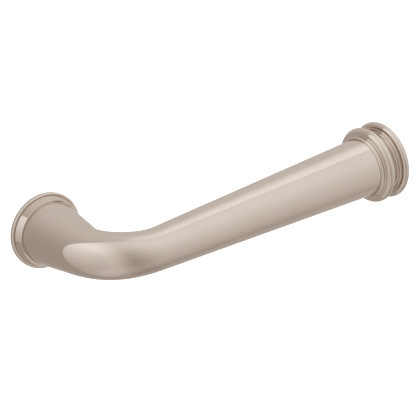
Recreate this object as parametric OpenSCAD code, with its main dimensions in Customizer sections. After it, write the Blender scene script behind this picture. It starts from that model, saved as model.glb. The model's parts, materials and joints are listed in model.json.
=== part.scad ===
// Wall mounted bath spout: a tapering arm leaves the wall, turns down through
// a 90 degree elbow and opens into a trumpet bell with a stepped rim.
// Millimetres. The wall plane is y = 0, the arm runs along -Y and the outlet
// faces -Z. The origin is the centre of the supply fitting's face at the wall.
// "Station" means the distance from the wall along the arm; "height" in the
// drop means the height above the plane of the outlet's mouth.

/* [Spout] */
// Reach, from the wall to the axis of the outlet
reach = 228.5; // [200:0.5:260]
// Drop, from the axis of the arm to the mouth of the outlet
drop = 80.5; // [78:0.5:95]
// Bend radius of the elbow, on its axis
bend_r = 38; // [34:0.5:40]
// Radius of the arm at the wall end
tail_r = 20.4; // [20:0.1:22]
// Radius of the arm where the elbow begins
neck_r = 14; // [14:0.1:16]
// Radius where the elbow ends and the bell begins
throat_r = 17; // [16.5:0.1:18]
// Extra radius in the middle of the elbow
elbow_swell = 1.2; // [0:0.05:1.5]

/* [Bell and rim] */
// Radius of the bell where it meets the rim
bell_r = 21.5; // [21:0.1:21.8]
// Outer radius of the rim
rim_r = 26; // [26:0.1:28]
// Thickness of the rim's outer disc
rim_disc_t = 3.4; // [3:0.1:4]
// Radius of the tapering step at its foot, above the disc
step_r = 24.4; // [24.2:0.1:25]
// Radius of the step at its top
step_top_r = 22.9; // [22.5:0.1:23.2]
// Height of the whole rim
rim_h = 9.6; // [9.4:0.1:10]

/* [Wall end] */
// Outer radius of the wall flange
flange_r = 27; // [26.5:0.1:30]
// Radius of the flange's rounded edge
flange_bead_r = 2.65; // [2.5:0.05:2.7]
// Station of the middle of the flange's rounded edge
flange_s = 3.5; // [3.5:0.1:4]
// Outer radius of the collar bead
collar_r = 26.6; // [26:0.1:28]
// Radius of the collar's rounded edge
collar_bead_r = 3.6; // [3.4:0.05:3.7]
// Station of the middle of the collar bead
collar_s = 16; // [15.8:0.1:16.2]
// Thickness of the foam gasket behind the flange
gasket_t = 0.8; // [0.6:0.1:0.8]

/* [Supply adapter] */
// Wall radius of the 1/2 inch NPT female thread, as tap drilled
npt_r = 9.13; // [9:0.01:9.3]
// Length of the threaded part
npt_len = 20; // [16:1:22]
// Radius of the spigot that the spout slides onto
spigot_r = 12.7; // [12.5:0.05:13]
// Running clearance between the spigot and the bush, on the radius
spigot_clear = 0.05; // [0.02:0.01:0.08]
// Overall length of the adapter
adapter_len = 50; // [50:1:52]
// Width across the flats of the adapter's hexagon
hex_af = 27; // [26:0.5:28]
// Radius of the O-rings' cord
o_ring_cord_r = 1.18; // [1.15:0.01:1.2]

/* [Locking screw] */
// Station of the locking screw, on the underside
screw_s = 30; // [29:0.5:31]
// Thread radius of the screw (M5)
screw_r = 2.5; // [2.5:0.5:2.5]
// Length of the screw
screw_len = 6; // [5.5:0.1:6]

/* [Outlet insert] */
// Thread radius of the flow straightener (M24 x 1)
insert_r = 12; // [11.5:0.1:12]
// Height of the bottom of the threaded bush
bush_h = 25; // [24:0.5:26]
// Length of the threaded bush
bush_len = 14; // [13:0.5:14]
// Distance between the centres of neighbouring honeycomb channels
cell_pitch = 2.95; // [2.7:0.05:2.95]

/* [Hidden] */
$fn = 72;

nickel = [0.74, 0.68, 0.62];
brass = [0.78, 0.62, 0.32];
rubber = [0.10, 0.10, 0.10];
steel = [0.70, 0.70, 0.70];
plastic = [0.88, 0.88, 0.86];

eps = 0.5;                               // overlap used to cut cleanly through a face
bend_s = reach - bend_r;                 // station where the elbow begins
throat_h = drop - bend_r;                // height where the elbow ends
bore_r = 11.5;                           // waterway in the elbow
bush_r = 17;                             // seat of the tail bush in the arm
bush_front_s = 52.5;                     // station of the tail bush's front end
core_r = 15.6;                           // waterway just beyond the tail bush
seat_r = 13.6;                           // seat of the outlet bush in the throat
bell_wall = 3;                           // wall of the bell
lap_r = 20.9;                            // lap joint between the bell and the rim
lap_h = 3;
lip_r = 19.9;                            // inside of the bell at the lap joint's end

bead_inner_r = tail_r;                   // the turned rings sit on the arm's end
land_s = 20;                             // station where the arm's taper begins
arm_slope = (tail_r - neck_r) / (bend_s - land_s);
bell_slope = 0.16;                       // how fast the elbow widens where it meets the bell

groove_r = 11.5;                         // locking groove in the adapter
groove_w = 6.4;
o_ring_groove_w = 3.6;
o_ring_groove_r = spigot_r - 2 * o_ring_cord_r + 0.01;
o_ring_mid_r = o_ring_groove_r + o_ring_cord_r + 0.005;
rear_o_ring_s = 38;
front_o_ring_s = 45;
hex_len = 9;
adapter_bore_r = 7.5;

screw_in_r = 13.5;                       // inner end of the screw, from the arm's axis
pad_in_r = groove_r + 0.3;               // the soft pad stands just clear of the groove
pad_r = 1.9;
stem_r = 1;
stem_len = 1.5;
fit = 0.05;                              // running clearance of screws and stems

bush_top_h = bush_h + bush_len;
shoulder_t = 2;                          // shoulder at the top of the outlet bush
shoulder_r = 10.6;
washer_t = 1.8;
housing_top_h = bush_top_h - shoulder_t - washer_t;
housing_flange_t = 1.5;
housing_flange_r = 13.3;
housing_bottom_h = bush_h - 0.3 - housing_flange_t;
housing_bore_r = 10.9;
insert_seat_h = bush_h;
disc_r = 10.85;                          // discs stacked inside the housing
screen_t = 0.4;
core_t = 7.6;
retainer_t = 1.2;
mesh_pitch = 2;
mesh_wire = 0.5;

tuck = 0.03;                             // the elbow is this much slimmer than its neighbours
bend_steps = 20;
bend_sides = 48;

// Smooth step between two radii with given end slopes, u from 0 to 1
function blend(r0, r1, m0, m1, u) =
    r0 * (1 + 2 * u) * (1 - u) * (1 - u) + m0 * u * (1 - u) * (1 - u)
    + r1 * u * u * (3 - 2 * u) - m1 * u * u * (1 - u);

// Outer radius of the elbow, u from 0 at the arm to 1 at the bell
function elbow_radius(u) =
    let (arc_len = bend_r * PI / 2, hump = 16 * u * u * (1 - u) * (1 - u))
    blend(neck_r, throat_r, -arm_slope * arc_len, bell_slope * arc_len, u)
    + elbow_swell * hump - tuck;

// Outer radius of the bell at a height above the mouth
function bell_radius(h) =
    throat_r + (bell_r - throat_r) * (throat_h - h) / (throat_h - rim_h);

// Places a shape drawn along +Z on the arm's axis, so that z becomes the station
module on_arm() {
    rotate([90, 0, 0]) children();
}

// Places a shape drawn along +Z on the outlet's axis, so that z becomes the height
module on_outlet() {
    translate([0, -reach, -drop]) children();
}

// A rectangle between two radii and two positions along the axis
module band(r0, r1, z0, z1) {
    translate([r0, z0]) square([r1 - r0, z1 - z0]);
}

// A round hollow ring
module ring(r0, r1, z0, z1) {
    rotate_extrude() band(r0, r1, z0, z1);
}

// The elbow's outside: round sections of changing radius around the bend
module elbow_outside() {
    rings = [for (i = [0:bend_steps]) let (
            u = i / bend_steps,
            a = 90 * u,
            r = elbow_radius(u))
        [for (k = [0:bend_sides - 1]) let (
                phi = 360 * k / bend_sides,
                out = bend_r + r * cos(phi))
            [r * sin(phi), -bend_s - out * sin(a), -bend_r + out * cos(a)]]];
    points = [for (section = rings) for (p = section) p];
    sides = [for (i = [0:bend_steps - 1]) for (k = [0:bend_sides - 1]) let (
            n = (k + 1) % bend_sides,
            a = i * bend_sides,
            b = a + bend_sides)
        [a + k, a + n, b + n, b + k]];
    start_cap = [for (k = [bend_sides - 1:-1:0]) k];
    end_cap = [for (k = [0:bend_sides - 1]) bend_steps * bend_sides + k];
    polyhedron(points = points, faces = concat(sides, [start_cap, end_cap]), convexity = 4);
}

// The elbow's waterway: a torus that runs a few degrees past each end
module elbow_bore() {
    past = 3;
    translate([0, -bend_s, -bend_r])
        rotate([0, -90, 180])
            rotate([0, 0, -past])
                rotate_extrude(angle = 90 + 2 * past)
                    translate([bend_r, 0]) circle(r = bore_r);
}

// The bell's outside, down to the top of the rim, and the spigot inside the rim
module bell_outside() {
    rotate_extrude()
        polygon([[0, throat_h], [throat_r, throat_h], [bell_r, rim_h],
                 [lap_r, rim_h], [lap_r, rim_h - lap_h], [0, rim_h - lap_h]]);
}

// The bell's inside, below the threaded bush
module bell_inside() {
    rotate_extrude()
        polygon([[0, bush_h], [bell_radius(bush_h) - bell_wall, bush_h], [bell_r - bell_wall, rim_h],
                 [lip_r, rim_h - lap_h], [lip_r, rim_h - lap_h - eps], [0, rim_h - lap_h - eps]]);
}

// A threaded hole for the locking screw, from the arm's axis out of the underside
module screw_hole() {
    translate([0, -screw_s, -tail_r - eps]) cylinder(r = screw_r + fit, h = tail_r + eps - groove_r);
}

// Tapering arm, bored for the tail bush and for the waterway beyond it
module spout_arm() {
    color(nickel)
    difference() {
        on_arm() {
            translate([0, 0, gasket_t]) cylinder(r = tail_r, h = land_s - gasket_t);
            translate([0, 0, land_s]) cylinder(r1 = tail_r, r2 = neck_r, h = bend_s - land_s);
        }
        on_arm() {
            translate([0, 0, gasket_t - eps]) cylinder(r = bush_r, h = bush_front_s - gasket_t + eps);
            translate([0, 0, bush_front_s - eps])
                cylinder(r1 = core_r, r2 = bore_r, h = bend_s - bush_front_s + 2 * eps);
        }
        screw_hole();
    }
}

// Hollow elbow that widens towards the bell, brazed between the arm and the bell
module spout_elbow() {
    color(nickel)
    difference() {
        elbow_outside();
        elbow_bore();
    }
}

// Trumpet bell with the seat for the threaded bush in its throat
module outlet_bell() {
    color(nickel)
    on_outlet() difference() {
        bell_outside();
        translate([0, 0, bush_top_h - eps]) cylinder(r = bore_r, h = throat_h - bush_top_h + 2 * eps);
        translate([0, 0, bush_h - eps]) cylinder(r = seat_r, h = bush_len + eps);
        bell_inside();
    }
}

// Turned rim brazed to the bell: a rounded disc with a tapering step above it
module outlet_rim() {
    edge = 1.1;
    corner = 0.4;
    waist_r = lip_r + 2;
    waist_h = 1;
    mouth_r = lip_r + 2.7;
    color(nickel)
    on_outlet()
    rotate_extrude()
    difference() {
        union() {
            band(lip_r, rim_r - edge, 0, rim_disc_t);
            band(rim_r - edge, rim_r, edge, rim_disc_t - edge);
            translate([rim_r - edge, edge]) circle(r = edge);
            translate([rim_r - edge, rim_disc_t - edge]) circle(r = edge);
            polygon([[lip_r, edge], [step_r, edge], [step_r, rim_disc_t],
                     [step_top_r, rim_h - corner], [step_top_r - corner, rim_h], [lip_r, rim_h]]);
        }
        band(lip_r - eps, lap_r, rim_h - lap_h, rim_h + eps);
        polygon([[lip_r - eps, rim_h - lap_h], [lip_r, rim_h - lap_h], [waist_r, waist_h],
                 [mouth_r, 0], [mouth_r, -eps], [lip_r - eps, -eps]]);
    }
}

// Turned collar: a large bead, a fillet step and a cove that runs out onto the arm
module collar_ring() {
    step_w = 1.1;
    cove_r = 1.7;
    blunt = 0.3;
    bead_s = collar_s + collar_bead_r;
    step_s = bead_s + step_w;
    foot_r = bead_inner_r + cove_r + blunt;
    color(nickel)
    on_arm()
    rotate_extrude()
    union() {
        translate([collar_r - collar_bead_r, collar_s]) circle(r = collar_bead_r);
        band(bead_inner_r, collar_r - collar_bead_r, collar_s - collar_bead_r, bead_s);
        band(bead_inner_r, foot_r, bead_s - eps, step_s);
        difference() {
            band(bead_inner_r, foot_r, step_s - 0.1, step_s + cove_r);
            translate([foot_r, step_s + cove_r]) circle(r = cove_r);
        }
    }
}

// Turned wall flange: a bead against the wall with two fine steps in front
module wall_flange() {
    bead_s = flange_s + flange_bead_r;
    step_out = [3, 1.6];                 // how far the two steps stand out from the arm
    step_s = [1, 2.1];                   // and how far they stand in front of the bead
    color(nickel)
    on_arm()
    rotate_extrude()
    union() {
        translate([flange_r - flange_bead_r, flange_s]) circle(r = flange_bead_r);
        band(bead_inner_r, flange_r - flange_bead_r, gasket_t, bead_s);
        band(bead_inner_r, bead_inner_r + step_out[0], bead_s - eps, bead_s + step_s[0]);
        band(bead_inner_r, bead_inner_r + step_out[1], bead_s + step_s[0] - eps, bead_s + step_s[1]);
    }
}

// Foam gasket between the flange and the wall
module wall_gasket() {
    inset = 1;
    color(rubber)
    on_arm() ring(bush_r + inset, flange_r - flange_bead_r, 0, gasket_t);
}

// Brass bush in the arm's end: the bore that slides over the adapter's O-rings
module tail_bush() {
    back_s = 10;
    lip_t = 1.9;
    lip_r = bore_r - 1;
    lead_in = 1.5;
    color(brass)
    difference() {
        on_arm() difference() {
            translate([0, 0, back_s]) cylinder(r = bush_r, h = bush_front_s - back_s);
            translate([0, 0, back_s - eps])
                cylinder(r = spigot_r + spigot_clear, h = bush_front_s - back_s - lip_t + eps);
            translate([0, 0, back_s]) cylinder(r = lip_r, h = bush_front_s - back_s + eps);
            translate([0, 0, back_s - 0.01])
                cylinder(r1 = spigot_r + spigot_clear + lead_in, r2 = spigot_r + spigot_clear, h = lead_in);
        }
        screw_hole();
    }
}

// Brass adapter: female pipe thread at the wall, hexagon, locking groove, O-ring grooves
module supply_adapter() {
    chamfer = 1;
    color(brass)
    on_arm() difference() {
        union() {
            cylinder(r = hex_af / 2 / cos(30), h = hex_len, $fn = 6);
            cylinder(r = spigot_r, h = adapter_len - chamfer);
            translate([0, 0, adapter_len - chamfer])
                cylinder(r1 = spigot_r, r2 = spigot_r - chamfer, h = chamfer);
        }
        translate([0, 0, -eps]) cylinder(r = npt_r, h = npt_len + eps);
        translate([0, 0, npt_len - eps]) cylinder(r = adapter_bore_r, h = adapter_len);
        ring(groove_r, spigot_r + 1, screw_s - groove_w / 2, screw_s + groove_w / 2);
        for (s = [rear_o_ring_s, front_o_ring_s])
            ring(o_ring_groove_r, spigot_r + 1, s - o_ring_groove_w / 2, s + o_ring_groove_w / 2);
    }
}

// One O-ring on the adapter
module o_ring(s) {
    color(rubber)
    on_arm()
        translate([0, 0, s])
            rotate_extrude()
                translate([o_ring_mid_r, 0]) circle(r = o_ring_cord_r);
}

module rear_o_ring() {
    o_ring(rear_o_ring_s);
}

module front_o_ring() {
    o_ring(front_o_ring_s);
}

// Soft pad in the nose of the locking screw; it slides with the screw and doesn't turn
module set_screw_pad() {
    color(plastic)
    translate([0, -screw_s, 0]) {
        translate([0, 0, -screw_in_r]) cylinder(r = pad_r, h = screw_in_r - pad_in_r);
        translate([0, 0, -screw_in_r - stem_len]) cylinder(r = stem_r, h = stem_len + eps);
    }
}

// Headless locking screw with a hexagon socket in its outer end
module set_screw() {
    socket_af = 2.5;
    socket_len = 2.5;
    color(steel)
    translate([0, -screw_s, -screw_in_r - screw_len])
    difference() {
        cylinder(r = screw_r, h = screw_len);
        translate([0, 0, -eps])
            cylinder(r = socket_af / 2 / cos(30), h = socket_len + eps, $fn = 6);
        translate([0, 0, screw_len - stem_len - fit]) cylinder(r = stem_r + fit, h = stem_len + 1);
    }
}

// Brass bush in the throat, threaded for the flow straightener
module outlet_bush() {
    color(brass)
    on_outlet() difference() {
        translate([0, 0, bush_h]) cylinder(r = seat_r, h = bush_len);
        translate([0, 0, bush_h - eps]) cylinder(r = insert_r + fit, h = bush_len - shoulder_t + eps);
        translate([0, 0, bush_h]) cylinder(r = shoulder_r, h = bush_len + eps);
    }
}

// Flat rubber washer above the flow straightener
module straightener_washer() {
    overlap = 0.4;
    side_clear = 0.2;
    color(rubber)
    on_outlet() ring(shoulder_r - overlap, insert_r - side_clear, housing_top_h, housing_top_h + washer_t);
}

// Threaded brass housing with two coin slots in its bottom flange
module straightener_housing() {
    slot_w = 3;
    slot_depth = 0.9;
    ledge = 1.1;                         // the screens and the core rest on it
    color(brass)
    on_outlet() difference() {
        union() {
            translate([0, 0, housing_bottom_h]) cylinder(r = housing_flange_r, h = housing_flange_t);
            translate([0, 0, housing_bottom_h + eps])
                cylinder(r = insert_r, h = housing_top_h - housing_bottom_h - eps);
        }
        translate([0, 0, insert_seat_h]) cylinder(r = housing_bore_r, h = bush_len);
        translate([0, 0, housing_bottom_h - eps]) cylinder(r = housing_bore_r - ledge, h = bush_len);
        for (side = [-1, 1])
            translate([side * insert_r - slot_w / 2, -slot_w / 2, housing_bottom_h - eps])
                cube([slot_w, slot_w, slot_depth + eps]);
    }
}

// Moulded core with hexagonal channels that straighten the flow
module straightener_core() {
    rows = 3;
    web = 0.5;
    color(plastic)
    on_outlet()
    translate([0, 0, insert_seat_h + screen_t])
    linear_extrude(core_t)
    difference() {
        circle(r = disc_r);
        for (i = [-rows:rows])
            for (j = [-rows:rows])
                if (abs(i + j) <= rows)
                    translate([cell_pitch * (i + j / 2), cell_pitch * j * sin(60)])
                        rotate(30) circle(r = (cell_pitch - web) / 2 / cos(30), $fn = 6);
    }
}

// Wire screen: a disc with a grid of square openings
module screen(h) {
    border = 0.9;
    reach_r = disc_r - border;
    cells = floor(reach_r / mesh_pitch);
    hole = mesh_pitch - mesh_wire;
    color(steel)
    on_outlet()
    translate([0, 0, h])
    linear_extrude(screen_t)
    difference() {
        circle(r = disc_r);
        for (i = [-cells:cells])
            for (j = [-cells:cells])
                if (norm([abs(i) * mesh_pitch + hole / 2, abs(j) * mesh_pitch + hole / 2]) < reach_r)
                    translate([i * mesh_pitch, j * mesh_pitch]) square(hole, center = true);
    }
}

module outlet_screen() {
    screen(insert_seat_h);
}

module inlet_screen() {
    screen(insert_seat_h + screen_t + core_t);
}

// Split retaining ring that holds the screens and the core in the housing
module screen_retainer() {
    gap = 4;
    width = 1.3;
    base_h = insert_seat_h + 2 * screen_t + core_t;
    color(steel)
    on_outlet() difference() {
        ring(disc_r - width, disc_r, base_h, base_h + retainer_t);
        translate([0, -gap / 2, base_h - eps]) cube([disc_r + 1, gap, retainer_t + 2 * eps]);
    }
}

supply_adapter();
rear_o_ring();
front_o_ring();
spout_arm();
spout_elbow();
outlet_bell();
outlet_rim();
collar_ring();
wall_flange();
wall_gasket();
tail_bush();
outlet_bush();
set_screw_pad();
set_screw();
straightener_washer();
straightener_housing();
straightener_core();
inlet_screen();
outlet_screen();
screen_retainer();
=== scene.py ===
"""A wall mounted bath spout in polished nickel: its looks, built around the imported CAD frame.

Everything is in metres in the row frame: the wall plane is y = 0, the arm runs along -Y and the
outlet faces -Z. Lengths that only this script needs are written in millimetres and times MM.
"Station" is the distance from the wall along the arm, "height" the height above the mouth.
"""
import json
import math

import bmesh
import bpy
from mathutils import Matrix, Vector


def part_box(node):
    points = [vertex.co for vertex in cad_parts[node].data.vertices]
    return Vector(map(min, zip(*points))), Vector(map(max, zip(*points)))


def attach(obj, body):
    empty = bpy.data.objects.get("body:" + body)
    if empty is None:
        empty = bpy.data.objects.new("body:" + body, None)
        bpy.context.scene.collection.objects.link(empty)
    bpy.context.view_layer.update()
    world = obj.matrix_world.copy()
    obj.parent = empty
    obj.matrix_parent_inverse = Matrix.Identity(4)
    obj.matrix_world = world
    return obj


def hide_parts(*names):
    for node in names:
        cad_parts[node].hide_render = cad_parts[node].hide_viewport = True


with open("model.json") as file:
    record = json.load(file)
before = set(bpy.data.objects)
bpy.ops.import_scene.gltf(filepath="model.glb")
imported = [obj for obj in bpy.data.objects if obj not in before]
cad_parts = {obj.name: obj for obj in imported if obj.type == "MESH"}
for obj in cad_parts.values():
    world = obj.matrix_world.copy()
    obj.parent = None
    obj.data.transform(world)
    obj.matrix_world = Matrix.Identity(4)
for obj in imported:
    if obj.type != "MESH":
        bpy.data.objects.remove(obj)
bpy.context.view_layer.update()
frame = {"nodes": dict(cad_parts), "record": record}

MM = 0.001
SIDES = 192                      # points around a large turned part
FINE = 96                        # points around a small or threaded one
HOLE_SIDES = 48                  # points around a drilled hole
TURN = 2 * math.pi


# ---------------------------------------------------------------- sizes, from the frame

def size_of(node):
    """A node's width, depth and height."""
    low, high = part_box(node)
    return high - low


def heights_of(node):
    """Lowest and highest height of a node above the mouth."""
    low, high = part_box(node)
    return low.z - MOUTH_Z, high.z - MOUTH_Z


def stations_of(node):
    """Nearest and furthest station of a node."""
    low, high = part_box(node)
    return -high.y, -low.y


MOUTH_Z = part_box("outlet_rim")[0].z
REACH = -(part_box("outlet_rim")[0].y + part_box("outlet_rim")[1].y) / 2
RIM_R = size_of("outlet_rim").x / 2
RIM_H = size_of("outlet_rim").z
FLANGE_R = size_of("wall_flange").x / 2
COLLAR_R = size_of("collar_ring").x / 2
GASKET_T = size_of("wall_gasket").y
BUSH_R = size_of("tail_bush").x / 2
BUSH_FRONT = stations_of("tail_bush")[1]
SEAT_R = size_of("outlet_bush").x / 2
SEAT_LOW, SEAT_TOP = heights_of("outlet_bush")
HOUSING_LOW, HOUSING_TOP = heights_of("straightener_housing")

TAIL_R = 20.4 * MM               # arm at the wall end
NECK_R = 14.0 * MM               # arm where the elbow begins
THROAT_R = 17.0 * MM             # where the elbow ends and the bell begins
BELL_R = 21.5 * MM               # bell where it meets the rim
BEND_R = 38.0 * MM
ELBOW_SWELL = 1.2 * MM
BELL_SLOPE = 0.16                # how fast the elbow widens where it meets the bell
LAND = 20.0 * MM                 # station where the arm's taper begins
BORE_R = 11.5 * MM               # waterway in the elbow
CORE_R = 15.6 * MM               # waterway just beyond the tail bush
BELL_WALL = 3.0 * MM
LAP_R = 20.9 * MM                # lap joint between bell and rim
LAP_H = 3.0 * MM
LIP_R = 19.9 * MM
BEND_START = REACH - BEND_R
THROAT_H = -MOUTH_Z - BEND_R
SCREW_S = 30.0 * MM
SCREW_HOLE_R = 2.55 * MM


# ---------------------------------------------------------------- mesh helpers

def on_arm(radius, station, angle):
    """A point around the arm's axis."""
    return Vector((radius * math.sin(angle), -station, radius * math.cos(angle)))


def on_outlet(radius, height, angle):
    """A point around the outlet's axis."""
    return Vector((radius * math.sin(angle), -REACH - radius * math.cos(angle), MOUTH_Z + height))


def on_elbow(radius, u, angle):
    """A point around the elbow's axis, u from 0 at the arm to 1 at the bell."""
    a = math.pi / 2 * u
    out = Vector((0, -math.sin(a), math.cos(a)))
    centre = Vector((0, -BEND_START, -BEND_R)) + BEND_R * out
    return centre + radius * (math.cos(angle) * out + math.sin(angle) * Vector((1, 0, 0)))


def on_screw(radius, depth, angle):
    """A point around the locking screw's axis, depth being the distance below the arm's axis."""
    return Vector((radius * math.sin(angle), -SCREW_S + radius * math.cos(angle), -depth))


def ring(place, radius, position, count):
    """A closed row of points. The radius is a number, or a function of the angle."""
    angles = [TURN * k / count for k in range(count)]
    radii = [radius(a) if callable(radius) else radius for a in angles]
    return [place(r, position, a) for r, a in zip(radii, angles)]


def skin(bm, rings, closed):
    """Joins rings of the same number of points with quads, and caps the ends if not closed."""
    rows = [[bm.verts.new(p) for p in points] for points in rings]
    pairs = list(zip(rows, rows[1:]))
    if closed:
        pairs.append((rows[-1], rows[0]))
    for low, high in pairs:
        for k in range(len(low)):
            n = (k + 1) % len(low)
            bm.faces.new((low[k], low[n], high[n], high[k]))
    if not closed:
        bm.faces.new(rows[0])
        bm.faces.new(rows[-1])


def finish_mesh(name, bm, material, sharp=35):
    """Makes an object of a bmesh, with smooth faces and edges that are sharp above an angle."""
    bmesh.ops.remove_doubles(bm, verts=bm.verts, dist=1e-7)
    bmesh.ops.recalc_face_normals(bm, faces=bm.faces)
    mesh = bpy.data.meshes.new(name)
    bm.to_mesh(mesh)
    bm.free()
    mesh.polygons.foreach_set("use_smooth", [True] * len(mesh.polygons))
    mesh.set_sharp_from_angle(angle=math.radians(sharp))
    mesh.materials.append(material)
    piece = bpy.data.objects.new(name, mesh)
    bpy.context.scene.collection.objects.link(piece)
    return piece


def turned(name, rows, place, material, count=SIDES, closed=True, sharp=35):
    """A turned part from rows of (radius, position)."""
    bm = bmesh.new()
    skin(bm, [ring(place, r, z, count) for r, z in rows], closed)
    return finish_mesh(name, bm, material, sharp)


def belongs(piece, body, slot, *nodes):
    """A piece rides on a body and stands for CAD nodes; the slot argument is not used.

    Its shading follows the large faces, so that a small fillet doesn't bend a flat's reflection.
    """
    shading = piece.modifiers.new("even_shading", "WEIGHTED_NORMAL")
    shading.keep_sharp = True
    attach(piece, body)
    if nodes:
        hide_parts(*nodes)


def rounded(corners, steps=6):
    """A closed outline from (radius, position, fillet) corners in mm, each fillet drawn as an arc."""
    outline = []
    for i, (r, z, fillet) in enumerate(corners):
        here = Vector((r, z))
        if fillet <= 0:
            outline.append(here)
            continue
        before = (Vector(corners[i - 1][:2]) - here).normalized()
        after = (Vector(corners[(i + 1) % len(corners)][:2]) - here).normalized()
        half = before.angle(after) / 2
        reach = fillet / math.tan(half)
        centre = here + (before + after).normalized() * (fillet / math.sin(half))
        start = here + before * reach - centre
        end = here + after * reach - centre
        sweep = start.angle_signed(end)
        for k in range(steps + 1):
            outline.append(centre + Matrix.Rotation(-sweep * k / steps, 2) @ start)
    return [p * MM for p in outline]


def arc(centre_r, centre_z, radius, start, end, steps=28):
    """Points of an arc in an outline in mm, angles in degrees from the outward radius."""
    angles = [math.radians(start + (end - start) * k / steps) for k in range(steps + 1)]
    return [Vector((centre_r + radius * math.cos(a), centre_z + radius * math.sin(a))) * MM
            for a in angles]


def line(*points):
    """Points of an outline, given in mm."""
    return [Vector(p) * MM for p in points]


def spans(start, end, count):
    """count + 1 evenly spaced values."""
    return [start + (end - start) * k / count for k in range(count + 1)]


def thread(radius, depth, start, end, pitch, per_turn=8):
    """Rows of a helical thread: the radius runs between radius and radius + depth.

    It grows from nothing over the first turn and runs out over the last one.
    """
    def row(z):
        fade = min(1, abs(z - start) / pitch, abs(end - z) / pitch)

        def at(angle):
            wave = abs(2 * ((z / pitch + angle / TURN) % 1) - 1)
            return radius + depth * fade * min(1, max(0, wave * 1.5 - 0.25))
        return at
    count = max(2, round(abs(end - start) / pitch * per_turn))
    return [(row(z), z) for z in spans(start, end, count)]


def hexagon(across_flats, limit):
    """A hexagon's radius as a function of the angle, with its corners cut off at a limit."""
    def at(angle):
        within = (angle + TURN / 12) % (TURN / 6) - TURN / 12
        return min(limit, across_flats / 2 / math.cos(within))
    return at


# ---------------------------------------------------------------- material helpers

def new_material(name, color, metallic, roughness):
    """A Principled material, and its node tree and shader."""
    material = bpy.data.materials.new(name)
    material.use_nodes = True
    material.diffuse_color = (*color, 1)
    tree = material.node_tree
    shader = tree.nodes["Principled BSDF"]
    shader.inputs["Base Color"].default_value = (*color, 1)
    shader.inputs["Metallic"].default_value = metallic
    shader.inputs["Roughness"].default_value = roughness
    return material, tree, shader


def coordinates(tree, scale=(1, 1, 1)):
    """The object's own coordinates, stretched."""
    source = tree.nodes.new("ShaderNodeTexCoord")
    stretch = tree.nodes.new("ShaderNodeMapping")
    stretch.inputs["Scale"].default_value = scale
    tree.links.new(source.outputs["Object"], stretch.inputs["Vector"])
    return stretch.outputs["Vector"]


def noise(tree, vector, scale, detail=3.0, rough=0.5):
    node = tree.nodes.new("ShaderNodeTexNoise")
    node.inputs["Scale"].default_value = scale
    node.inputs["Detail"].default_value = detail
    node.inputs["Roughness"].default_value = rough
    tree.links.new(vector, node.inputs["Vector"])
    return node.outputs["Fac"]


def remap(tree, value, low, high, to_low, to_high, smooth=False):
    node = tree.nodes.new("ShaderNodeMapRange")
    if smooth:
        node.interpolation_type = "SMOOTHSTEP"
    node.inputs["From Min"].default_value = low
    node.inputs["From Max"].default_value = high
    node.inputs["To Min"].default_value = to_low
    node.inputs["To Max"].default_value = to_high
    tree.links.new(value, node.inputs["Value"])
    return node.outputs["Result"]


def mix_color(tree, factor, first, second):
    """A mix of two colours, each a tuple or an output."""
    node = tree.nodes.new("ShaderNodeMix")
    node.data_type = "RGBA"
    tree.links.new(factor, node.inputs["Factor"])
    for source, socket in ((first, node.inputs[6]), (second, node.inputs[7])):
        if isinstance(source, tuple):
            socket.default_value = (*source, 1)
        else:
            tree.links.new(source, socket)
    return node.outputs[2]


def math_node(tree, operation, first, second):
    """A sum, product or other mix of two values, each a number or an output."""
    node = tree.nodes.new("ShaderNodeMath")
    node.operation = operation
    for source, socket in ((first, node.inputs[0]), (second, node.inputs[1])):
        if isinstance(source, (int, float)):
            socket.default_value = source
        else:
            tree.links.new(source, socket)
    return node.outputs[0]


def bump(tree, shader, height, strength, distance):
    node = tree.nodes.new("ShaderNodeBump")
    node.inputs["Strength"].default_value = strength
    node.inputs["Distance"].default_value = distance
    tree.links.new(height, node.inputs["Height"])
    tree.links.new(node.outputs["Normal"], shader.inputs["Normal"])


def edges(tree):
    """1 along raised edges, 0 elsewhere."""
    node = tree.nodes.new("ShaderNodeNewGeometry")
    return remap(tree, node.outputs["Pointiness"], 0.51, 0.6, 0, 1)


def painted_crease_shade(tree):
    """1 in creases, 0 elsewhere: the mask of painted shade in creases."""
    node = tree.nodes.new("ShaderNodeNewGeometry")
    return remap(tree, node.outputs["Pointiness"], 0.49, 0.42, 0, 1)


# ---------------------------------------------------------------- materials

def make_nickel():
    """Mirror-polished nickel: faint clouding, fine buffing marks, worn edges."""
    material, tree, shader = new_material("polished_nickel", (0.68, 0.605, 0.54), 1, 0.05)
    shader.inputs["Specular Tint"].default_value = (0.88, 0.85, 0.83, 1)     # darker at grazing angles
    cloud = noise(tree, coordinates(tree), 45, 4)
    clouding = remap(tree, cloud, 0.3, 0.7, 0, 1)
    tone = mix_color(tree, clouding, (0.667, 0.593, 0.527), (0.693, 0.617, 0.553))
    tone = mix_color(tree, edges(tree), tone, (0.72, 0.645, 0.59))
    tree.links.new(tone, shader.inputs["Base Color"])
    buffing = noise(tree, coordinates(tree, (1, 14, 14)), 260, 5, 0.6)
    smears = remap(tree, noise(tree, coordinates(tree), 18, 2), 0.35, 0.75, 0.0, 0.02)
    gloss = remap(tree, buffing, 0.3, 0.7, 0.02, 0.045)
    gloss = math_node(tree, "ADD", gloss, smears)
    gloss = math_node(tree, "ADD", gloss, math_node(tree, "MULTIPLY", edges(tree), 0.03))
    tree.links.new(gloss, shader.inputs["Roughness"])
    bump(tree, shader, buffing, 0.02, 0.00002)
    return material


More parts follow.
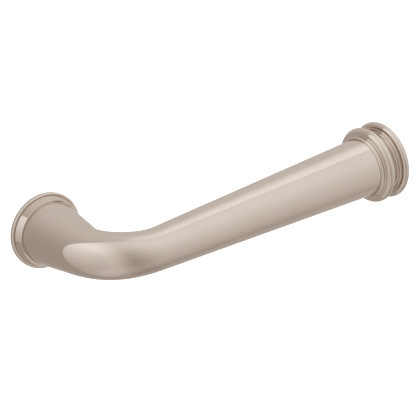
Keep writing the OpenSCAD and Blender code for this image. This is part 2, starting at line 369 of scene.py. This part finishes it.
def make_brass(name, scale):
    """Machined brass with turning marks across an axis: scale is large along that axis."""
    material, tree, shader = new_material(name, (0.80, 0.62, 0.30), 1, 0.25)
    marks = noise(tree, coordinates(tree, scale), 90, 4, 0.65)
    patina = noise(tree, coordinates(tree), 70, 3)
    tone = mix_color(tree, remap(tree, patina, 0.3, 0.7, 0, 1), (0.70, 0.52, 0.24), (0.84, 0.67, 0.36))
    # Painted shade: the creases are darkened towards a deep brown.
    tone = mix_color(tree, painted_crease_shade(tree), tone, (0.42, 0.29, 0.12))
    tone = mix_color(tree, edges(tree), tone, (0.90, 0.76, 0.46))
    tree.links.new(tone, shader.inputs["Base Color"])
    tree.links.new(remap(tree, marks, 0.3, 0.7, 0.2, 0.36), shader.inputs["Roughness"])
    bump(tree, shader, marks, 0.25, 0.00006)
    return material


def make_steel():
    """Drawn stainless steel, satin."""
    material, tree, shader = new_material("stainless_steel", (0.60, 0.59, 0.57), 1, 0.28)
    grain = noise(tree, coordinates(tree), 1800, 3, 0.6)
    cloud = noise(tree, coordinates(tree), 160, 2)
    tone = mix_color(tree, remap(tree, cloud, 0.3, 0.7, 0, 1), (0.53, 0.52, 0.50), (0.64, 0.63, 0.61))
    tone = mix_color(tree, edges(tree), tone, (0.74, 0.73, 0.71))
    tree.links.new(tone, shader.inputs["Base Color"])
    tree.links.new(remap(tree, grain, 0.3, 0.7, 0.2, 0.36), shader.inputs["Roughness"])
    bump(tree, shader, grain, 0.12, 0.00003)
    return material


def make_soft(name, dark, light, scale, roughness, depth):
    """A non-metal with fine grain: its colours, the grain's scale, its roughness and its depth."""
    material, tree, shader = new_material(name, light, 0, roughness)
    grain = noise(tree, coordinates(tree), scale, 4, 0.6)
    cloud = noise(tree, coordinates(tree), scale / 12, 2)
    tone = mix_color(tree, remap(tree, cloud, 0.35, 0.65, 0, 1), dark, light)
    worn = tuple(min(1, c * 1.12 + 0.01) for c in light)
    tone = mix_color(tree, edges(tree), tone, worn)
    tree.links.new(tone, shader.inputs["Base Color"])
    spread = remap(tree, grain, 0.3, 0.7, roughness - 0.07, min(1, roughness + 0.07))
    tree.links.new(spread, shader.inputs["Roughness"])
    bump(tree, shader, grain, 0.4, depth)
    return material


def make_foam():
    """Fine closed-cell foam: rounded cells with dark gaps."""
    material, tree, shader = new_material("foam_rubber", (0.06, 0.06, 0.06), 0, 0.85)
    cells = tree.nodes.new("ShaderNodeTexVoronoi")
    cells.inputs["Scale"].default_value = 2600
    tree.links.new(coordinates(tree), cells.inputs["Vector"])
    distance = cells.outputs["Distance"]
    gaps = remap(tree, distance, 0.1, 0.6, 0, 1)
    tone = mix_color(tree, gaps, (0.085, 0.083, 0.08), (0.025, 0.025, 0.025))
    tree.links.new(tone, shader.inputs["Base Color"])
    tree.links.new(remap(tree, distance, 0, 0.7, 0.75, 0.95), shader.inputs["Roughness"])
    bump(tree, shader, distance, 0.6, 0.0001)
    return material


nickel = make_nickel()
arm_brass = make_brass("brass_turned_along_arm", (1, 30, 1))
outlet_brass = make_brass("brass_turned_along_outlet", (1, 1, 30))
steel = make_steel()
rubber = make_soft("moulded_rubber", (0.018, 0.018, 0.018), (0.03, 0.03, 0.031), 2400, 0.5, 0.00002)
foam = make_foam()
acetal = make_soft("white_acetal", (0.80, 0.80, 0.77), (0.86, 0.86, 0.84), 1500, 0.38, 0.00001)
nylon = make_soft("soft_nylon", (0.72, 0.70, 0.62), (0.80, 0.79, 0.73), 1500, 0.45, 0.00001)

CAD_FINISHES = {
    "polished_nickel": nickel, "rubber": rubber, "foam_rubber": foam,
    "stainless_steel": steel, "white_plastic": acetal, "soft_plastic": nylon,
}


def finish_cad_nodes():
    """Gives every carried-over CAD node the finish of its slot."""
    for part in frame["record"]["subparts"]:
        node = frame["nodes"][part["node"]]
        along_arm = part["node"] in ("supply_adapter", "tail_bush")
        brass = arm_brass if along_arm else outlet_brass
        for place in node.material_slots:
            place.material = CAD_FINISHES.get(part["material_slot"], brass)


# ---------------------------------------------------------------- spout shell

def blend(r0, r1, m0, m1, u):
    """A smooth step from r0 to r1 with end slopes m0 and m1."""
    return (r0 * (1 + 2 * u) * (1 - u) ** 2 + m0 * u * (1 - u) ** 2
            + r1 * u * u * (3 - 2 * u) - m1 * u * u * (1 - u))


def elbow_radius(u):
    """Outer radius of the elbow, u from 0 at the arm to 1 at the bell."""
    length = BEND_R * math.pi / 2
    slope = (TAIL_R - NECK_R) / (BEND_START - LAND)
    hump = 16 * u * u * (1 - u) ** 2
    return blend(NECK_R, THROAT_R, -slope * length, BELL_SLOPE * length, u) + ELBOW_SWELL * hump


def bell_radius(height):
    """Outer radius of the bell at a height above the mouth."""
    return THROAT_R + (BELL_R - THROAT_R) * (THROAT_H - height) / (THROAT_H - RIM_H)


def bored(piece, place, radius, start, end):
    """Cuts a round hole through a piece."""
    cutter = turned("cutter", [(radius, start), (radius, end)], place, nickel, HOLE_SIDES, closed=False)
    cut = piece.modifiers.new("hole", "BOOLEAN")
    cut.object = cutter
    cut.solver = "EXACT"
    graph = bpy.context.evaluated_depsgraph_get()
    mesh = bpy.data.meshes.new_from_object(piece.evaluated_get(graph))
    piece.modifiers.clear()
    piece.data = mesh
    mesh.set_sharp_from_angle(angle=math.radians(35))
    bpy.data.objects.remove(cutter)


def make_spout_shell():
    """Arm, elbow and bell as one hollow shell: out along the outside, back along the waterway."""
    slope = (TAIL_R - NECK_R) / (BEND_START - LAND)
    narrowing = (CORE_R - BORE_R) / (BEND_START - BUSH_FRONT)
    edge = 0.4 * MM
    rings = [ring(on_arm, TAIL_R - edge, GASKET_T, SIDES)]
    rings += [ring(on_arm, TAIL_R, s, SIDES) for s in spans(GASKET_T + edge, LAND, 6)]
    rings += [ring(on_arm, TAIL_R - slope * (s - LAND), s, SIDES)
              for s in spans(LAND, BEND_START, 60)[1:-1]]
    rings += [ring(on_elbow, elbow_radius(u), u, SIDES) for u in spans(0, 1, 72)]
    rings += [ring(on_outlet, bell_radius(h), h, SIDES) for h in spans(THROAT_H, RIM_H, 72)[1:]]
    rings += [ring(on_outlet, r, h, SIDES)
              for r, h in ((LAP_R, RIM_H), (LAP_R, RIM_H - LAP_H), (LIP_R, RIM_H - LAP_H))]
    rings += [ring(on_outlet, bell_radius(h) - BELL_WALL, h, SIDES) for h in spans(RIM_H, SEAT_LOW, 32)]
    rings += [ring(on_outlet, r, h, SIDES)
              for r, h in ((SEAT_R, SEAT_LOW), (SEAT_R, SEAT_TOP), (BORE_R, SEAT_TOP))]
    rings += [ring(on_elbow, BORE_R, u, SIDES) for u in spans(1, 0, 48)]
    rings += [ring(on_arm, BORE_R + narrowing * (BEND_START - s), s, SIDES)
              for s in spans(BEND_START, BUSH_FRONT, 24)[1:]]
    rings += [ring(on_arm, BUSH_R, s, SIDES) for s in (BUSH_FRONT, GASKET_T)]
    bm = bmesh.new()
    skin(bm, rings, closed=True)
    piece = finish_mesh("spout_shell", bm, nickel)
    bored(piece, on_screw, SCREW_HOLE_R, BUSH_R - 1 * MM, TAIL_R + 1 * MM)
    belongs(piece, "spout", "polished_nickel", "spout_arm", "spout_elbow", "outlet_bell")


# ---------------------------------------------------------------- turned rings

def make_rim():
    """Rounded disc, a fine groove and a tapering step above it, hollow where the bell fits."""
    rim_r, top, shelf = RIM_R / MM, RIM_H / MM, (RIM_H - LAP_H) / MM
    corners = [(22.6, 0, 0.25), (rim_r, 0, 1.1), (rim_r, 3.4, 1.1), (24.05, 3.4, 0),
               (24.05, 3.7, 0), (24.35, 3.7, 0.08), (22.9, top, 0.3), (LAP_R / MM, top, 0),
               (LAP_R / MM, shelf, 0), (LIP_R / MM, shelf, 0), (21.9, 1.0, 0.6)]
    piece = turned("outlet_rim_ring", rounded(corners), on_outlet, nickel)
    belongs(piece, "spout", "polished_nickel", "outlet_rim")


def make_collar():
    """Large bead with a fillet step and a cove that runs out onto the arm."""
    bead_r, bead_s = 3.6, 16.0
    top = bead_s + bead_r
    centre = COLLAR_R / MM - bead_r
    outline = line((20.4, bead_s - bead_r), (centre - 0.5, bead_s - bead_r))
    outline += arc(centre, bead_s, bead_r, -90, 90)
    outline += line((22.75, top), (22.4, top + 0.3), (22.4, top + 1.1))
    outline += arc(22.4, top + 2.8, 1.7, 270, 180, 10)
    outline += line((20.4, top + 2.8))
    piece = turned("collar_bead", outline, on_arm, nickel)
    belongs(piece, "spout", "polished_nickel", "collar_ring")


def make_flange():
    """Bead against the wall with two fine steps in front."""
    bead_r, bead_s = 2.65, 3.5
    top = bead_s + bead_r
    centre = FLANGE_R / MM - bead_r
    outline = line((20.4, GASKET_T / MM), (centre, GASKET_T / MM))
    outline += arc(centre, bead_s, bead_r, -90, 90)
    outline += line((23.4, top), (23.4, top + 0.7), (23.1, top + 1), (22, top + 1),
                    (22, top + 1.8), (21.7, top + 2.1), (20.4, top + 2.1))
    piece = turned("flange_bead", outline, on_arm, nickel)
    belongs(piece, "spout", "polished_nickel", "wall_flange")


def make_gasket():
    """Die-cut foam ring with soft edges."""
    thick = GASKET_T / MM
    outer = size_of("wall_gasket").x / 2 / MM
    corners = [(18.0, 0, 0.2), (outer, 0, 0.2), (outer, thick, 0.2), (18.0, thick, 0.2)]
    piece = turned("foam_gasket", rounded(corners, 3), on_arm, foam)
    belongs(piece, "spout", "foam_rubber", "wall_gasket")


# ---------------------------------------------------------------- supply adapter

def make_adapter():
    """Hexagon, spigot with locking and O-ring grooves, and a parallel pipe thread at the wall."""
    across_flats = 27.0 * MM
    bore, end = 7.5 * MM, 50.0 * MM
    spigot = 12.7 * MM
    full = hexagon(across_flats, 16.0 * MM)
    chamfered = hexagon(across_flats, 15.0 * MM)
    rows = [(14.0 * MM, 0.0), (chamfered, 0.7 * MM), (full, 1.5 * MM), (full, 7.5 * MM),
            (chamfered, 8.3 * MM), (13.6 * MM, 9.0 * MM), (spigot, 9.0 * MM)]
    for middle, half, depth in ((30.0, 3.2, 1.2), (38.0, 1.8, 2.35), (45.0, 1.8, 2.35)):
        low, high, floor = (middle - half) * MM, (middle + half) * MM, spigot - depth * MM
        rows += [(spigot, low), (floor, low), (floor, high), (spigot, high)]
    rows += [(spigot, end - 1.0 * MM), (spigot - 1.0 * MM, end), (bore, end), (bore, 20.0 * MM),
             (8.9 * MM, 19.6 * MM)]
    rows += thread(9.13 * MM, 0.95 * MM, 19.5 * MM, 0.6 * MM, 1.814 * MM)
    rows += [(10.3 * MM, 0.0)]
    piece = turned("supply_fitting", rows, on_arm, arm_brass, FINE, sharp=30)
    belongs(piece, "wall_fitting", "brass", "supply_adapter")


# ---------------------------------------------------------------- outlet insert

def make_outlet_bush():
    """Threaded brass bush in the bell's throat."""
    shoulder = SEAT_TOP - 2.0 * MM
    rows = [(SEAT_R, SEAT_LOW), (SEAT_R, SEAT_TOP), (10.6 * MM, SEAT_TOP), (10.6 * MM, shoulder)]
    rows += thread(12.05 * MM, 0.6 * MM, shoulder, SEAT_LOW + 0.6 * MM, 1.0 * MM)
    rows += [(12.6 * MM, SEAT_LOW)]
    piece = turned("threaded_bush", rows, on_outlet, outlet_brass, FINE, sharp=30)
    belongs(piece, "spout", "brass", "outlet_bush")


def make_housing():
    """Straightener housing: flange with two coin slots, threaded body, ledge for the screens."""
    flange_r = size_of("straightener_housing").x / 2
    flange_top = HOUSING_LOW + 1.5 * MM
    slot_depth, slot_half = 0.9 * MM, 1.5 * MM
    ledge = SEAT_LOW

    rows = [(9.8 * MM, HOUSING_LOW + 0.25 * MM), (10.05 * MM, HOUSING_LOW),
            (flange_r - 0.4 * MM, HOUSING_LOW), (flange_r, HOUSING_LOW + 0.4 * MM),
            (flange_r, flange_top), (11.4 * MM, flange_top)]
    rows += thread(11.4 * MM, 0.6 * MM, flange_top + 0.4 * MM, HOUSING_TOP - 0.4 * MM, 1.0 * MM)
    rows += [(11.2 * MM, HOUSING_TOP), (10.9 * MM, HOUSING_TOP), (10.9 * MM, ledge), (9.8 * MM, ledge)]
    piece = turned("straightener_body", rows, on_outlet, nickel, FINE, sharp=30)
    for side in (-1, 1):
        bm = bmesh.new()
        centre = Vector((side * 12.0 * MM, -REACH, MOUTH_Z + HOUSING_LOW + slot_depth / 2 - 0.25 * MM))
        bmesh.ops.create_cube(bm, size=1, matrix=Matrix.Translation(centre) @ Matrix.Diagonal(
            (2 * slot_half, 2 * slot_half, slot_depth + 0.5 * MM, 1)))
        cutter = finish_mesh("slot_cutter", bm, nickel)
        cut = piece.modifiers.new("slot", "BOOLEAN")
        cut.object = cutter
        cut.solver = "EXACT"
    graph = bpy.context.evaluated_depsgraph_get()
    mesh = bpy.data.meshes.new_from_object(piece.evaluated_get(graph))
    for cut in list(piece.modifiers):
        bpy.data.objects.remove(cut.object)
    piece.modifiers.clear()
    piece.data = mesh
    mesh.set_sharp_from_angle(angle=math.radians(30))
    belongs(piece, "flow_straightener", "polished_nickel", "straightener_housing")


def woven_wire(bm, start, end, side, up, wire_r, pitch, phase):
    """One wire of a plain weave, rising over and dipping under the wires it crosses."""
    length = (end - start).length
    along = (end - start) / length
    count = max(8, round(length / pitch * 6))
    rows = []
    for s in spans(0, length, count):
        offset = (start.dot(along) + s) / pitch
        rise = wire_r * 0.9 * math.cos(math.pi * (offset + phase))
        centre = start + along * s + up * rise
        rows.append([centre + wire_r * (math.cos(TURN * k / 6) * side + math.sin(TURN * k / 6) * up)
                     for k in range(6)])
    skin(bm, rows, closed=False)


def make_screen(name, node):
    """Woven stainless steel wire cloth in a pressed ring."""
    low, high = heights_of(node)
    z = MOUTH_Z + (low + high) / 2
    outer = size_of(node).x / 2
    thick = high - low
    wire_r, pitch, reach = 0.1 * MM, 1.1 * MM, outer - 0.6 * MM
    up = Vector((0, 0, 1))
    bm = bmesh.new()
    count = int(reach / pitch)
    for i in range(-count, count + 1):
        half = math.sqrt(reach ** 2 - (i * pitch) ** 2)
        for along, side, phase in ((Vector((1, 0, 0)), Vector((0, 1, 0)), i),
                                   (Vector((0, 1, 0)), Vector((1, 0, 0)), i + 1)):
            middle = Vector((0, -REACH, z)) + side * (i * pitch)
            shift = 0 if along.x else REACH / pitch
            woven_wire(bm, middle - along * half, middle + along * half, side, up,
                       wire_r, pitch, phase + shift)
    cloth = finish_mesh(name + "_cloth", bm, steel, 80)
    belongs(cloth, "flow_straightener", "stainless_steel")
    rows = [(outer, low + 0.1 * MM), (outer, high - 0.1 * MM), (outer - 0.1 * MM, low + thick),
            (outer - 0.9 * MM, high), (outer - 1.0 * MM, (low + high) / 2), (outer - 0.9 * MM, low),
            (outer - 0.1 * MM, low)]
    frame_ring = turned(name + "_ring", rows, on_outlet, steel, FINE)
    belongs(frame_ring, "flow_straightener", "stainless_steel", node)


# ---------------------------------------------------------------- locking screw

def make_screw():
    """Headless M5 screw: threaded, with a hexagon socket in its outer end."""
    inner = -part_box("set_screw")[1].z
    outer = -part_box("set_screw")[0].z
    socket = hexagon(2.5 * MM, 1.35 * MM)
    rows = [(0.05 * MM, inner + 1.6 * MM), (1.05 * MM, inner + 1.6 * MM), (1.05 * MM, inner),
            (1.9 * MM, inner), (2.1 * MM, inner + 0.3 * MM)]
    rows += thread(2.1 * MM, 0.4 * MM, inner + 0.35 * MM, outer - 0.35 * MM, 0.8 * MM, per_turn=10)
    rows += [(2.1 * MM, outer - 0.3 * MM), (1.9 * MM, outer), (1.45 * MM, outer),
             (socket, outer - 0.15 * MM), (socket, outer - 2.4 * MM), (0.05 * MM, outer - 2.9 * MM)]
    piece = turned("locking_screw_m5", rows, on_screw, steel, FINE, closed=False, sharp=30)
    belongs(piece, "locking_screw", "stainless_steel", "set_screw")


# ---------------------------------------------------------------- camera, floor, light

AZIMUTH = math.radians(-38.6)
ELEVATION = math.radians(48.8)
ROLL = math.radians(115.3)
DISTANCE = 1.111
TARGET = Vector((0.0082, -0.1239, -0.0410))
FIELD = math.radians(14.4)
FLOOR_Z = -1.5


def direction(azimuth, elevation):
    """A unit vector: azimuth 0 is -Y and 90 is +X."""
    return Vector((math.sin(azimuth) * math.cos(elevation), -math.cos(azimuth) * math.cos(elevation),
                   math.sin(elevation)))


def make_camera():
    """The camera at the photograph's viewing angle, rolled as the spout lies on its side."""
    back = direction(AZIMUTH, ELEVATION)
    data = bpy.data.cameras.new("camera")
    data.sensor_width = 36
    data.lens = data.sensor_width / 2 / math.tan(FIELD / 2)
    camera = bpy.data.objects.new("camera", data)
    camera.location = TARGET + DISTANCE * back
    camera.rotation_mode = "QUATERNION"
    look = (-back).to_track_quat("-Z", "Y")
    camera.rotation_quaternion = look @ Matrix.Rotation(ROLL, 3, "Z").to_quaternion()
    bpy.context.scene.collection.objects.link(camera)
    bpy.context.scene.camera = camera


def make_floor():
    """Plain pale floor. It gives off its own light and is left out of reflections."""
    material, tree, shader = new_material("pale_floor", (0.9, 0.9, 0.9), 0, 0.8)
    speckle = noise(tree, coordinates(tree), 300, 3)
    tree.links.new(remap(tree, speckle, 0.3, 0.7, 0.75, 0.85), shader.inputs["Roughness"])
    shader.inputs["Emission Color"].default_value = (1, 1, 1, 1)
    shader.inputs["Emission Strength"].default_value = 0.7
    bm = bmesh.new()
    bmesh.ops.create_grid(bm, x_segments=8, y_segments=8, size=40)
    bmesh.ops.translate(bm, verts=bm.verts, vec=(0, 0, FLOOR_Z))
    floor = finish_mesh("floor", bm, material)
    floor.visible_glossy = False


# Soft panels around the spout, each added to the even light of its half of the view.
# Each is (azimuth, elevation, cosine at half strength, softness, strength).
ROOM_LIGHT = 1.3
BRIGHT_SIDE = (-60, 10, 0.2, 1.1, 0.2)
DIM_UPPER_FRONT = (-15, 45, 1.4, 2.3, -1.5)
DIM_WALL = (-170, 25, -0.2, 0.7, -0.5)
DIM_LOW_RIGHT = (40, -40, 0.85, 4.3, -1.4)
TABLE_LIGHT = 0.45
TABLE_GLOW = (-145, -10, 0.1, 1.8, 0.3)
TABLE_HIGHLIGHT = (-130, 5, 0.9, 0.3, 0.4)
TABLE_TILT = (-3, 64)            # azimuth and elevation of the table plane's normal
TABLE_LEVEL = -0.125             # the table fills the view below this height on the normal
TABLE_SOFTNESS = 0.01            # half the width of the table's edge on that scale
DARKEST = 0.02                   # no direction is darker than this
LIGHT_GAIN = 1.04
WARMTH = (("Red", 0.98), ("Green", 1.12), ("Blue", 1.20))    # dim light is warmer than bright


def dot(tree, vector, constant):
    node = tree.nodes.new("ShaderNodeVectorMath")
    node.operation = "DOT_PRODUCT"
    node.inputs[1].default_value = constant
    tree.links.new(vector, node.inputs[0])
    return node.outputs["Value"]


def panels(tree, look, level, *rows):
    """An even light with soft panels added to it."""
    for azimuth, elevation, middle, softness, strength in rows:
        towards = dot(tree, look, direction(math.radians(azimuth), math.radians(elevation)))
        low, high = middle - softness / 2, middle + softness / 2
        level = math_node(tree, "ADD", level, remap(tree, towards, low, high, 0, strength, smooth=True))
    return level


def make_world():
    """Soft studio light as a gradient: a bright room above a darker table with a crisp edge."""
    world = bpy.data.worlds.new("studio")
    bpy.context.scene.world = world
    world.use_nodes = True
    tree = world.node_tree
    source = tree.nodes.new("ShaderNodeTexCoord")
    look = source.outputs["Generated"]
    room = panels(tree, look, ROOM_LIGHT, BRIGHT_SIDE, DIM_UPPER_FRONT, DIM_WALL, DIM_LOW_RIGHT)
    table = panels(tree, look, TABLE_LIGHT, TABLE_GLOW, TABLE_HIGHLIGHT)
    normal = direction(*(math.radians(angle) for angle in TABLE_TILT))
    low, high = TABLE_LEVEL - TABLE_SOFTNESS, TABLE_LEVEL + TABLE_SOFTNESS
    side = remap(tree, dot(tree, look, normal), low, high, 0, 1)
    other = math_node(tree, "SUBTRACT", 1.0, side)
    level = math_node(tree, "ADD", math_node(tree, "MULTIPLY", room, side),
                      math_node(tree, "MULTIPLY", table, other))
    level = math_node(tree, "MAXIMUM", level, DARKEST)
    warm = tree.nodes.new("ShaderNodeCombineColor")
    for channel, power in WARMTH:
        tree.links.new(math_node(tree, "POWER", level, power), warm.inputs[channel])
    tree.links.new(warm.outputs["Color"], tree.nodes["Background"].inputs["Color"])
    tree.nodes["Background"].inputs["Strength"].default_value = LIGHT_GAIN
    bpy.context.scene.view_settings.view_transform = "Standard"


finish_cad_nodes()
make_spout_shell()
make_rim()
make_collar()
make_flange()
make_gasket()
make_adapter()
make_outlet_bush()
make_housing()
make_screen("outlet_wire", "outlet_screen")
make_screen("inlet_wire", "inlet_screen")
make_screw()
make_camera()
make_floor()
make_world()
